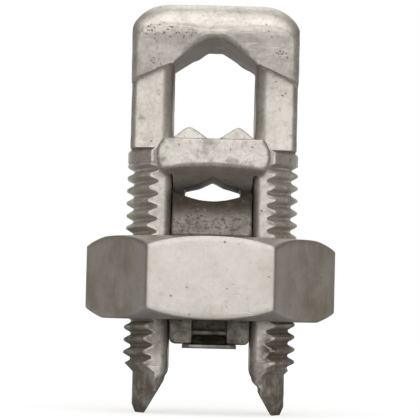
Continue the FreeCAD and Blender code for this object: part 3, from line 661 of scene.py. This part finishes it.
tinned(nut, "tinned_nut", nut_grime_and_shade, (0.735, 0.70, 0.65), (0.64, 0.61, 0.56), (0.33, 0.27, 0.17),
       scale=260, contrast=0.8, specks=0.15, pit_scale=1900, pit_share=0.03, mark_share=0.55, grain=0.35,
       depth=0.00004, metal=0.85, rough=0.4)

# The pressure bar: a copper alloy casting that slides in the slot. Its upper block stands on the nut with
# sloping ends and is hollowed for the tap wire, and its stem goes down through the bore, with a recess, a
# ledge and a slit in front and behind, and a stake below that is spread over the clip.
bar_low, bar_high = np.array(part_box("pressure_bar")) / MM
bar_x, bar_y, bar_top = bar_high
shoulder_z = nut_high[2] + 0.05
slope_z = shoulder_z + 0.4
crown_y = leg_front + 0.3
slope_hollow = 0.65
cup_radius = 11.0
cup_x = bar_x - 0.38
cup_z = bar_top + math.sqrt(cup_radius ** 2 - cup_x ** 2)
stem_z = nut_low[2] - 3.5
stem_y = math.sqrt((root_radius + thread_clearance - 0.3) ** 2 - bar_x ** 2)
stem_round = 0.8
recess_x, recess_depth, recess_rise = 2.5, 2.4, 7.0
ledge_depth, ledge_low, ledge_high = 0.5, 1.25, 2.05
slit_depth = 6.2
stake_radius, stake_flare = 1.5, 0.45


def along_x(x, low, high, reach, steps):
    """A solid carried along X. Its section at each x goes from z = low to z = high, and at each height it
    fills y from minus to plus reach(x, z). Returns rows of closed loops."""
    go = np.linspace(0, 1, steps)
    z = low[:, None] + (high - low)[:, None] * go
    y = reach(x[:, None], z)
    top = y[:, -1:] * (2 * go[1:-1] - 1)
    bottom = y[:, :1] * (1 - 2 * go[1:-1])
    y_loop = np.concatenate([-y, top, y[:, ::-1], bottom], axis=1)
    z_loop = np.concatenate([z, z[:, -1:] + 0 * top, z[:, ::-1], z[:, :1] + 0 * bottom], axis=1)
    return np.stack([x[:, None] + 0 * y_loop, y_loop, z_loop], axis=-1)


def turned(profile):
    """A solid of revolution about the bolt's axis from a profile of (radius, z) corners."""
    turn = np.linspace(0, 2 * math.pi, 48, endpoint=False)
    radius, z = np.array(profile).T[..., None]
    return about_axis(turn, radius + 0 * turn, z)


def cast(name, solids, voxel, uneven):
    """One skin of small quads over closed solids that overlap, its edges softened by smoothing and its
    faces made a little uneven by waves along the normals. The attribute `edge` is how far each point stands
    out from the mean of its neighbours, above 0 on edges and below 0 in corners."""
    thing = shell(name, solids, [loop for rows in solids for loop in (rows[0], rows[-1])])
    skin = thing.modifiers.new("skin", "REMESH")
    skin.mode = "VOXEL"
    skin.voxel_size = voxel * MM
    soft = thing.modifiers.new("soft_edges", "SMOOTH")
    soft.factor = 0.5
    soft.iterations = 3
    graph = bpy.context.evaluated_depsgraph_get()
    mesh = bpy.data.meshes.new_from_object(thing.evaluated_get(graph))
    thing.modifiers.clear()
    thing.data = mesh
    count = len(mesh.vertices)
    places, normals = np.empty((2, count * 3), np.float32)
    mesh.vertices.foreach_get("co", places)
    mesh.vertices.foreach_get("normal", normals)
    places, normals = places.reshape(-1, 3), normals.reshape(-1, 3)
    sink = uneven * MM * (1 + waves(places / MM, 3.0, 21) * 0.6 + waves(places / MM, 1.1, 22) * 0.4)
    mesh.vertices.foreach_set("co", (places - normals * sink[:, None]).astype(np.float32).ravel())
    ends = np.empty(len(mesh.edges) * 2, np.int32)
    mesh.edges.foreach_get("vertices", ends)
    here, there = np.concatenate([ends[::2], ends[1::2]]), np.concatenate([ends[1::2], ends[::2]])
    shared = np.bincount(here, minlength=count)[:, None]

    def neighbours(values):
        columns = [np.bincount(here, values[there, i], minlength=count) for i in range(values.shape[1])]
        return np.stack(columns, axis=-1) / shared

    edge = ((places - neighbours(places)) * normals).sum(axis=1, keepdims=True) / (0.12 * voxel * MM)
    for _ in range(3):
        edge = neighbours(edge)
    mesh.attributes.new("edge", "FLOAT", "POINT").data.foreach_set("value", edge.astype(np.float32).ravel())
    mesh.update()
    mesh.shade_smooth()
    return thing


def upper_block():
    """The block on the nut: level below, hollowed on top by an arc of the tap seat's radius, and at each
    end sloping back from the foot to the crown along a slightly hollow curve."""
    x = np.concatenate([[-bar_x], np.linspace(-cup_x, cup_x, 49), [bar_x]])
    arc = cup_z - np.sqrt(cup_radius ** 2 - np.minimum(np.abs(x), cup_x) ** 2)

    def reach(x, z):
        go = np.clip((z - slope_z) / (bar_top - slope_z), 0, 1)
        return bar_y - (bar_y - crown_y) * (go + slope_hollow * go * (1 - go))

    return along_x(x, np.full(len(x), shoulder_z), arc, reach, 40)


def stem():
    """The stem: full depth at its sides, and in the middle recess_x each way cut back by the slit, the
    ledge and the recess, one above the other. Its lower corners are quarter circles."""
    side = bar_x - stem_round * (1 - np.sin(quarter(9)))
    half = np.concatenate([np.linspace(0, recess_x, 11)[1:-1], [recess_x - 0.01, recess_x + 0.01], side])
    x = np.concatenate([-half[::-1], [0], half])
    over = np.clip(np.abs(x) - (bar_x - stem_round), 0, stem_round)
    low = stem_z + stem_round - np.sqrt(stem_round ** 2 - over ** 2)

    def reach(x, z):
        rise = z - stem_z
        cut = np.where(rise < ledge_low, slit_depth, np.where(
            rise < ledge_high, ledge_depth, np.where(rise < recess_rise, recess_depth, 0)))
        return stem_y - np.where(np.abs(x) < recess_x, cut, 0)

    return along_x(x, low, np.full(len(x), shoulder_z + 1), reach, 150)


stake_z = bar_low[2] + 0.03
stake = turned([(0.02, stem_z + 0.6), (stake_radius, stem_z + 0.6), (stake_radius, bar_low[2] + 0.5),
                (stake_radius + stake_flare, stake_z), (1.1, stake_z), (0.02, bar_low[2] + 0.4)])
bar = cast("pressure_bar_casting", [upper_block(), stem(), stake], 0.18, 0.02)
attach(bar, "bar")
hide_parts("pressure_bar")


def bar_grime_and_shade(place):
    """Painted shade on the crown under the spacer, dark stain at the block's foot, a painted shadow of the
    nut down the stem, painted shade in its recess and near black painted into its slit, broken up by a slow
    noise, and a fine stain that grows upwards."""
    cloud = noise(place, 520.0, 5.0, 0.7)
    height = coordinate(place, "Z")
    # Painted shade: the crown under the spacer's flanges is darkened, more towards the top.
    crown = product(spread(height, 0.0268, 0.0305), spread(cloud, 0.25, 0.55, 0.8, 1.0))
    foot = product(spread(height, 0.024, 0.025), spread(height, 0.0256, 0.0261, 0.7, 0.0))
    # Painted shadow of the nut: the stem is darkened, most towards its lower end.
    below = product(spread(height, 0.0105, 0.0256, 0.7, 0.4), spread(cloud, 0.3, 0.66, 0.3, 1.0))
    # Painted shade in the recess, and near black painted into the slit.
    recess = product(spot(place, (0, 0, stem_z + 2), (2.9, 16, 3.5)), 0.5)
    slit = product(spot(place, (0, 0, stem_z + 0.6), (4.2, 12.0, 0.95)), 1.3)
    fine = product(spread(noise(place, 1500.0, 3.0, 0.7), 0.38, 0.66),
                   spread(height, 0.0125, 0.02, 0.35, 0.75))
    return joined("MINIMUM", largest(crown, foot, below, recess, slit, fine), 1.0)


tinned(bar, "tinned_bar", bar_grime_and_shade, (0.62, 0.59, 0.53), (0.36, 0.34, 0.29), (0.115, 0.098, 0.072),
       scale=480, contrast=0.9, specks=0.5, pit_share=0.4, metal=0.5, rough=0.5)

# The retaining clip: a thin stamped strip under the stem, rounded at its corners, with a countersunk hole
# that the bar's stake is spread into, so that the nut can't leave the bar.
clip_low, clip_high = np.array(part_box("retaining_clip")) / MM
clip_corner = 1.2
clip_edge = 0.1
hole_gap = 0.02
end_crowding = 0.24


def stamped_clip():
    """A closed profile around the hole: out over the strip's upper face, over its softened edge, back under
    it and up the hole. The outline's radius at each angle is that of a rectangle with rounded corners. The
    steps around are shorter towards the strip's ends."""
    turn = np.linspace(0, 2 * math.pi, 240, endpoint=False)
    turn = turn + end_crowding * np.sin(2 * turn)
    half_x, half_y, high = clip_high
    low = clip_low[2]
    cos, sin = np.abs(np.cos(turn)), np.abs(np.sin(turn))
    plain = np.minimum(half_x / np.maximum(cos, 1e-6), half_y / np.maximum(sin, 1e-6))
    centre_x, centre_y = half_x - clip_corner, half_y - clip_corner
    along = centre_x * cos + centre_y * sin
    over = along ** 2 - (centre_x ** 2 + centre_y ** 2 - clip_corner ** 2)
    rounded = along + np.sqrt(np.maximum(over, 0))
    outline = np.where((rounded * cos > centre_x) & (rounded * sin > centre_y), rounded, plain)
    inner_low, inner_high = stake_radius + stake_flare + hole_gap, stake_radius + hole_gap
    go, bend = np.array([[0], [0.25], [0.5], [0.75]]), quarter(4)[:, None]
    upper = inner_high + (outline - inner_high) * go
    edge = outline - clip_edge * (1 - np.sin(bend))
    lower = inner_low + (outline - inner_low) * go[::-1]
    radius = np.concatenate([upper, edge, edge[::-1], lower, upper[:1]])
    fall = clip_edge * (1 - np.cos(bend))
    z = np.concatenate([high + 0 * go, high - fall, low + fall[::-1], low + 0 * go, [[high]]])
    return shell("stamped_clip", [about_axis(turn, radius, z)])


clip = stamped_clip()
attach(clip, "bar")
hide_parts("retaining_clip")


def clip_grime(place):
    """Thin stain in patches."""
    return product(spread(noise(place, 380.0, 4.0, 0.6), 0.42, 0.65), 0.6)


tinned(clip, "tinned_strip", clip_grime, (0.40, 0.38, 0.35), (0.31, 0.295, 0.265), (0.17, 0.15, 0.12),
       scale=400, contrast=0.8, specks=0.2, pit_share=0.05)

# The spacer: a copper alloy casting that fills the slot between the two wires. It is a saddle with a V
# notch and two ridges on top and an arched notch between two feet below, and a flange at each end keeps it
# on the legs.
spacer_low, spacer_high = np.array(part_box("spacer")) / MM
feet_z = spacer_low[2]
saddle_x = leg_inside - 0.12
ridge_x = saddle_x - 2.23
foot_x = saddle_x - 1.73
foot_out_x = foot_x + 0.5
foot_side, foot_corner_low, foot_corner_high = 1.05, 0.05, 1.9
knee_x, knee_rise, apex_rise = 1.7, 1.7, 2.65
ridge_rise, ridge_round, notch_rise, shoulder_rise = 9.77, 0.32, 7.6, 8.3
flange_x, flange_face = spacer_high[:2]
flange_y = leg_front + 0.3
saddle_y = flange_y + 1.4
foot_y = saddle_y - 5.0
flange_top, flange_bottom = 8.05, 2.9
flange_face_low, flange_end_drop = 4.2, 1.0
flange_end_round, flange_edge = 3.6, 0.45


def saddle():
    """The block between the legs. Its top is two ridges with a V notch between them. Below, from the side
    inwards, it has a rounded corner, a foot, and a notch whose slope is steeper at first. Under the flanges
    its ends slope back to the feet."""
    half = np.concatenate([np.linspace(0, foot_x - 0.01, 30), [foot_x + 0.01],
                           np.linspace(foot_out_x, saddle_x, 14)])
    x = np.concatenate([-half[:0:-1], half])
    out = np.abs(x)
    notch = np.interp(out, [0, knee_x, foot_x, foot_x + 0.01], [apex_rise, knee_rise, foot_side, 0])
    turn = np.clip((out - foot_out_x) / (saddle_x - foot_out_x), 0, 1)
    corner = foot_corner_low + (foot_corner_high - foot_corner_low) * (1 - np.sqrt(1 - turn ** 2))
    low = feet_z + np.where(out > foot_out_x, corner, notch)
    peak = ridge_rise + ridge_round
    fall = peak - np.interp(out, [0, ridge_x, saddle_x], [notch_rise, peak, shoulder_rise])
    high = feet_z + peak - np.sqrt(fall ** 2 + ridge_round ** 2)

    def reach(x, z):
        go = np.clip((feet_z + flange_bottom - z) / flange_bottom, 0, 1)
        return saddle_y - (saddle_y - foot_y) * go

    return along_x(x, low, high, reach, 60)


def flange(side):
    """One flange: a bar with arched ends carried along Y, its face's edge a quarter circle. Its underside
    rises from the saddle to the face, and there it is an arc that is highest in the middle."""
    middle = (flange_top + flange_bottom) / 2
    rise = (flange_top - flange_bottom) / 2
    end = np.linspace(-1, 1, 25) * math.asin(rise / flange_end_round)
    end_x = flange_x - flange_end_round * (1 - np.cos(end))
    end_z = middle + flange_end_round * np.sin(end)
    top_x = np.linspace(end_x[-1], -end_x[-1], 41)[1:-1]
    x = np.concatenate([end_x, top_x, -end_x, -top_x])
    z = np.concatenate([end_z, flange_top + 0 * top_x, end_z[::-1], flange_bottom + 0 * top_x])
    bend = quarter(7)[1:]
    level = np.linspace(flange_y, flange_face - flange_edge, 14)
    y = np.concatenate([level, flange_face - flange_edge * (1 - np.sin(bend))])[:, None]
    inset = np.concatenate([0 * level, flange_edge * (1 - np.cos(bend))])[:, None]
    x_in = x * (1 - inset / flange_x)
    z_in = middle + (z - middle) * (1 - inset / rise)
    arch = flange_face_low - flange_end_drop * (x_in / flange_x) ** 2
    slope = np.clip((y - saddle_y) / (flange_face - saddle_y), 0, 1)
    z_in = np.maximum(z_in, flange_bottom + (arch - flange_bottom) * slope + inset * 0.6)
    return np.stack([x_in, side * y + 0 * x_in, feet_z + z_in], axis=-1)


def foot_core():
    """The middle of the feet from front to back, where their corners are nearly square."""
    x = np.array([-saddle_x, -foot_out_x, foot_out_x, saddle_x])
    low = feet_z + np.array([0.5, 3.2, 3.2, 0.5])

    def reach(x, z):
        return foot_y + 0.1 + (z - feet_z) * 0.9

    return along_x(x, low, np.full(4, feet_z + 4.0), reach, 30)


spacer = cast("spacer_casting", [saddle(), foot_core(), flange(-1), flange(1)], 0.16, 0.03)
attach(spacer, "spacer")
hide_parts("spacer")


def spacer_grime_and_shade(place):
    """Olive-brown stain and painted shade over the feet and the lower notch under the flanges, and stain in
    patches, more at the ends of the flanges.
    """
    cloud = noise(place, 450.0, 4.0, 0.65)
    # Below the flanges the olive-brown tone is partly stain and partly painted shade of the flanges.
    below = product(spread(coordinate(place, "Z"), 0.0346, 0.0362, 0.6, 0.0),
                    spread(cloud, 0.2, 0.5, 0.8, 1.0))
    ends = product(spread(from_middle(place), 0.0055, 0.0078, 0.15, 0.6), spread(cloud, 0.5, 0.62))
    return largest(below, ends, product(spread(cloud, 0.48, 0.68), 0.45))


tinned(spacer, "tinned_casting", spacer_grime_and_shade, (0.87, 0.83, 0.775), (0.68, 0.655, 0.59), (0.34, 0.30, 0.23),
       scale=520, contrast=0.9, specks=0.4, pit_scale=1900, pit_share=0.04, metal=0.7, rough=0.43)

# The studio: a pale floor that glows like the backdrop, a soft lamp behind the camera, a wide one above, a
# weak one behind the object, and air that is dim and warm except where the camera sees it, as a white
# backdrop. Sizes in these last two sections are in metres.
floor_mesh = bpy.data.meshes.new("floor")
floor_mesh.from_pydata([(-3, -3, 0), (3, -3, 0), (3, 3, 0), (-3, 3, 0)], [], [(0, 1, 2, 3)])
floor = placed("floor", floor_mesh)


def backdrop_rays(tree):
    """Shares of the rays that see the backdrop: all camera rays, and glossy and transmission rays."""
    rays = tree.nodes.new("ShaderNodeLightPath").outputs
    return rays["Is Camera Ray"], largest(rays["Is Glossy Ray"], rays["Is Transmission Ray"])


paper = bpy.data.materials.new("floor_paper")
paper.use_nodes = True
tree = paper.node_tree
shader = tree.nodes["Principled BSDF"]
shader.inputs["Base Color"].default_value = (0.45, 0.45, 0.45, 1)
shader.inputs["Roughness"].default_value = 0.9
shader.inputs["Specular IOR Level"].default_value = 0
shader.inputs["Emission Color"].default_value = (1, 1, 1, 1)
place = tree.nodes.new("ShaderNodeTexCoord").outputs["Object"]
away = node("VectorMath", {0: place}, "Value", operation="LENGTH")
seen, mirrored = backdrop_rays(tree)
glow = largest(product(seen, spread(away, 0.05, 0.4, 0.76, 0.98)),
               product(mirrored, spread(coordinate(place, "Y"), 0.0, 0.3, 0.0, 0.8)))
tree.links.new(glow, shader.inputs["Emission Strength"])
floor_mesh.materials.append(paper)
object_middle = np.array([0, 0, 0.03])


def lamp(name, place, width, power):
    """A round soft lamp at a place, turned towards the object's middle."""
    data = bpy.data.lights.new(name, "AREA")
    data.shape = "DISK"
    data.size = width
    data.energy = power
    light = placed(name, data)
    light.location = place
    way = object_middle - place
    light.rotation_euler = (math.atan2(math.hypot(way[0], way[1]), -way[2]), 0, math.atan2(-way[0], way[1]))


lamp("front", (0, -0.85, 0.2), 0.5, 1.5)
lamp("above", (0, -0.28, 0.8), 0.95, 3.6)
lamp("behind", (0, 0.6, 0.7), 0.5, 0.9)

world = bpy.data.worlds.new("studio")
bpy.context.scene.world = world
world.use_nodes = True
tree = world.node_tree
way = tree.nodes.new("ShaderNodeTexCoord").outputs["Generated"]
seen, mirrored = backdrop_rays(tree)
white = largest(seen, product(mirrored, spread(coordinate(way, "Y"), 0.75, 0.98)))
air = blend(white, (0.105, 0.091, 0.075, 1), (1, 1, 1, 1))
tree.links.new(air, tree.nodes["Background"].inputs["Color"])

# The camera: 420 mm in front of the bolt's axis and 12 mm above the leg tips, looking up by 2.4 degrees,
# and rolled by 1.35 degrees. Its focal length is 2860 pixels of the photograph, which is 420 wide.
focal_pixels, photo_pixels = 2860, 420
upright, roll = math.radians(92.40), math.radians(1.35)
camera = placed("camera", bpy.data.cameras.new("camera"))
bpy.context.scene.camera = camera
camera.data.sensor_width = 36
camera.data.lens = 36 * focal_pixels / photo_pixels
camera.data.clip_start = 0.01
camera.data.clip_end = 20
camera.location = (-0.0003, -0.42, 0.0122)
camera.rotation_euler = (Matrix.Rotation(upright, 3, "X") @ Matrix.Rotation(roll, 3, "Z")).to_euler()

bpy.context.scene.view_settings.view_transform = "Standard"
